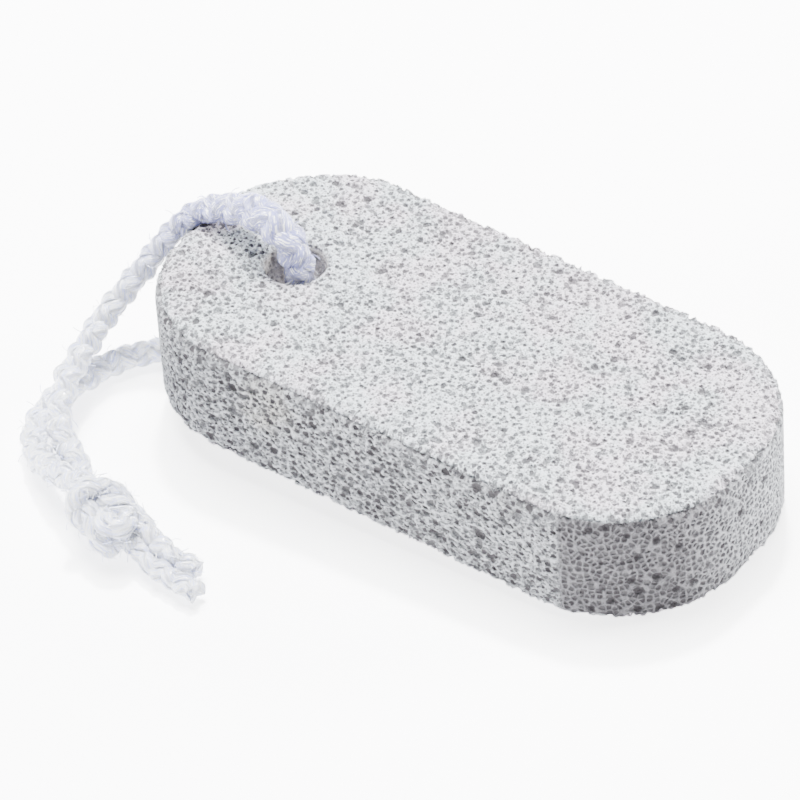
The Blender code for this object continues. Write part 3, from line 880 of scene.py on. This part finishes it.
def pumiceMaterial(settings, finish):
    material, tree, shader = newMaterial("pale pumice")
    # the pattern is made on the level stone, as the bubbles are cut
    back = stoneTurn(settings).inverted()
    untilt = addNode(tree, "ShaderNodeMapping", {
        "Vector": addNode(tree, "ShaderNodeTexCoord").outputs["Object"],
        "Location": back.to_translation(), "Rotation": back.to_euler()}, vector_type="POINT")
    own = untilt.outputs[0]
    wall = addNode(tree, "ShaderNodeAttribute", attribute_name="wall").outputs["Fac"]
    pores = poreNodes(tree, own, wall, settings)
    grain = noise(tree, own, finish["grainScale"], detail=4.0, roughness=0.80)
    clouds = noise(tree, own, finish["cloudScale"], detail=3.0)
    shifted = vectorMaths(tree, "ADD", own, finish["tintShift"])
    tints = noise(tree, shifted, finish["tintScale"], detail=3.0)
    top = blend(tree, remap(tree, tints, *finish["tintAt"]), finish["topColour"], finish["topTint"])
    clouds = remap(tree, clouds, *finish["cloudAt"], 0.0, finish["cloudShare"])
    side = blend(tree, clouds, finish["sideToneAndShade"], finish["beige"])
    # painted light: the net pales towards the back of the plain end
    paintedNetLight = remap(tree, pores["y"], *finish["netPales"], 0.0, finish["netPale"])
    net = blend(tree, paintedNetLight, finish["netToneAndShade"], finish["sideToneAndShade"])
    # the walls and the net take darker colours that carry painted shade
    skin = blend(tree, wall, top, blend(tree, pores["netted"], side, net))
    # painted light lifts the shade deep in the bore
    deep = remap(tree, pores["z"], *finish["drilledHeight"])
    bore = blend(tree, deep, finish["drilledColour"], finish["paintedLightDeepInBore"])
    skin = blend(tree, pores["drilled"], skin, bore)
    # painted shade in the hollows of the fine grain, where its relief is lowest, in the pits' dark
    # colour
    wearAndGrainShade = remap(tree, grain, *finish["grainAt"], 0.0, finish["grainShare"])
    wearAndGrainShade = fadedBy(tree, wearAndGrainShade, pores["drilled"], finish["boreGrain"])
    skin = blend(tree, wearAndGrainShade, skin, finish["paintedPitShade"])
    # painted shade in the open bubbles
    colour = blend(tree, pores["dark"], skin, finish["paintedPitShade"])
    tree.links.new(colour, shader.inputs["Base Color"])
    shader.inputs["Roughness"].default_value = 0.95
    shader.inputs["Specular IOR Level"].default_value = 0.2
    # the bubbles' relief fades where those of the face meet those of the wall
    fromJoint = maths(tree, "ABSOLUTE", maths(tree, "SUBTRACT", wall, 0.5))
    height = product(tree, pores["depth"], -1.0, remap(tree, fromJoint, *finish["jointFade"]))
    height = maths(tree, "MULTIPLY_ADD", grain, -finish["grainRelief"], height)
    lumps = noise(tree, own, finish["lumpScale"], detail=2.0)
    lumps = fadedBy(tree, lumps, wall, finish["wallLumps"])
    height = maths(tree, "MULTIPLY_ADD", lumps, finish["lumpRelief"], height)
    bump = addNode(tree, "ShaderNodeBump", {
        "Strength": 1.0, "Distance": finish["relief"],
        "Height": fadedBy(tree, height, pores["drilled"], finish["boreRelief"])})
    feed(tree, shader.inputs["Normal"], bump.outputs[0])
    return material


def makeStone(settings, finish):
    blank = newObject("stone_blank", stoneBlank(settings))
    remesh = blank.modifiers.new("even faces", "REMESH")
    remesh.mode = "VOXEL"
    remesh.voxel_size = settings["voxel"]
    material = pumiceMaterial(settings, finish)
    mesh = grownMesh(blank, poresTree(material, settings), {
        "Crumble": settings["crumble"], "Grain": settings["grain"], "Wear": settings["wear"]})
    bpy.data.objects.remove(blank)
    print("stone before thinning:", len(mesh.polygons), "faces")
    stone = newObject("pumice_block", mesh)
    thin = stone.modifiers.new("thin", "DECIMATE")
    thin.ratio = min(1.0, settings["triangles"] / (2 * len(mesh.polygons)))
    stone.data = plainMesh(stone)
    stone.modifiers.remove(thin)
    bpy.data.meshes.remove(mesh)
    stone.data.transform(stoneTurn(settings))
    stone.data.shade_smooth()
    print("stone:", len(stone.data.polygons), "faces")
    return stone


pumiceBlock = makeStone(stoneSettings, pumiceSettings)
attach(pumiceBlock, "root")
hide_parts("pumice_stone")


studioSettings = {
    "floorSize": 6.0,
    "floorColour": (0.95, 0.95, 0.955, 1.0),
    "floorGlow": 3.0,         # the floor is lit a little from within, as a light table is
    "worldColour": (0.925, 0.95, 1.0, 1.0),
    "worldStrength": 0.68,
    "aim": (0.0, 0.0, 0.01),
    "lamps": (
        # name, place, size, power, colour
        ("overhead", (-0.25, 0.22, 1.30), 0.9, 92.0, (1.0, 1.0, 1.0)),
        ("spark", (-0.25, 0.45, 1.10), 0.12, 44.0, (1.0, 1.0, 1.0)),
        ("left", (-1.25, -1.0, 0.40), 0.6, 36.0, (0.97, 0.98, 1.0)),
        ("right", (0.95, 1.15, 0.40), 0.6, 72.0, (1.0, 0.99, 0.98)),
    ),
}


def addFloor(settings):
    half = settings["floorSize"] / 2
    corners = [(-half, -half, 0.0), (half, -half, 0.0), (half, half, 0.0), (-half, half, 0.0)]
    mesh = bpy.data.meshes.new("floor")
    mesh.from_pydata(corners, [], [(0, 1, 2, 3)])
    material, _, shader = newMaterial("pale floor")
    shader.inputs["Base Color"].default_value = settings["floorColour"]
    shader.inputs["Roughness"].default_value = 0.9
    shader.inputs["Specular IOR Level"].default_value = 0.1
    shader.inputs["Emission Color"].default_value = (1.0, 1.0, 1.0, 1.0)
    shader.inputs["Emission Strength"].default_value = settings["floorGlow"]
    mesh.materials.append(material)
    floor = newObject("floor", mesh)


def addLamp(aim, name, place, size, power, colour):
    data = bpy.data.lights.new(name, "AREA")
    data.shape = "DISK"
    data.size = size
    data.energy = power
    data.color = colour
    lamp = newObject(name, data)
    lamp.rotation_mode = "QUATERNION"
    lamp.rotation_quaternion = (Vector(aim) - Vector(place)).to_track_quat("-Z", "Y")
    lamp.location = place


def addStudio(settings):
    addFloor(settings)
    world = bpy.data.worlds.new("soft room")
    world.use_nodes = True
    background = world.node_tree.nodes["Background"]
    background.inputs["Color"].default_value = settings["worldColour"]
    background.inputs["Strength"].default_value = settings["worldStrength"]
    bpy.context.scene.world = world
    for lamp in settings["lamps"]:
        addLamp(settings["aim"], *lamp)
    print("floor and lights ready")


addStudio(studioSettings)
